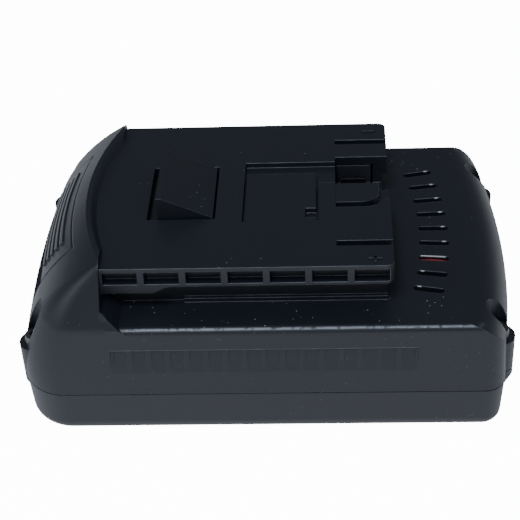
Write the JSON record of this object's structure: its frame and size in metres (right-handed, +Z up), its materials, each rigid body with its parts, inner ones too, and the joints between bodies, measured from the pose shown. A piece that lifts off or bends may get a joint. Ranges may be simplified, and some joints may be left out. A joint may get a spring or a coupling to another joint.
{
  "type": "power tool battery pack",
  "caption": "Slide-on battery pack for a cordless tool, with a rail platform, terminal slots, a sprung hook latch and round cells in a two-part housing.",
  "frame": {"origin": "centre of the flat base, on the surface the pack stands on", "axes": "+X along the pack to its leading end with the terminals, +Y across the pack, +Z up to the rail platform"},
  "size_m": [0.115, 0.076, 0.0476],
  "materials": {
    "housing_black": "fine moulded grain, satin at the edges",
    "latch_black": "fine moulded grain",
    "carrier_black": "plain moulded",
    "holder_black": "plain moulded",
    "cell_wrap": "shrink sleeve over a metal can",
    "spring_steel": "drawn wire",
    "screw_steel": "plated",
    "nickel": "rolled strip",
    "contact_metal": "tinned",
    "foam": "closed-cell foam",
    "sheet": "pressed paper board",
    "board_green": "solder mask over glass laminate",
    "chip_black": "moulded package",
    "capacitor_can": "drawn can",
    "bead": "dipped bead",
    "lead_red": "extruded insulation",
    "lead_black": "extruded insulation"
  },
  "bodies": {
    "pack": {"board_screws": "screw_steel", "capacitors": "capacitor_can", "cell_1": "cell_wrap", "cell_2": "cell_wrap", "cell_3": "cell_wrap", "cell_4": "cell_wrap", "cell_5": "cell_wrap", "cell_holder_front": "holder_black", "cell_holder_rear": "holder_black", "contact_carrier": "carrier_black", "control_board": "board_green", "controller_chip": "chip_black", "floor_pad": "foam", "housing_screws": "screw_steel", "insulating_sheet_front": "sheet", "insulating_sheet_rear": "sheet", "latch_spring_far": "spring_steel", "latch_spring_near": "spring_steel", "lower_housing": "housing_black", "negative_lead": "lead_black", "negative_tab": "nickel", "positive_lead": "lead_red", "positive_tab": "nickel", "power_transistors": "chip_black", "series_link_1": "nickel", "series_link_2": "nickel", "series_link_3": "nickel", "series_link_4": "nickel", "terminal_negative": "contact_metal", "terminal_positive": "contact_metal", "terminal_signal": "contact_metal", "thermistor": "bead", "upper_housing": "housing_black"},
    "latch": {"release_latch": "latch_black"}
  },
  "joints": [
    {"name": "latch_press", "type": "slide", "parent": "pack", "child": "latch", "axis": [0, 0, -1], "range_m": [0, 0.0057], "stiffness_N_per_m": 900, "springref_m": -0.002, "deforming": ["latch_spring_near", "latch_spring_far"]}
  ]
}
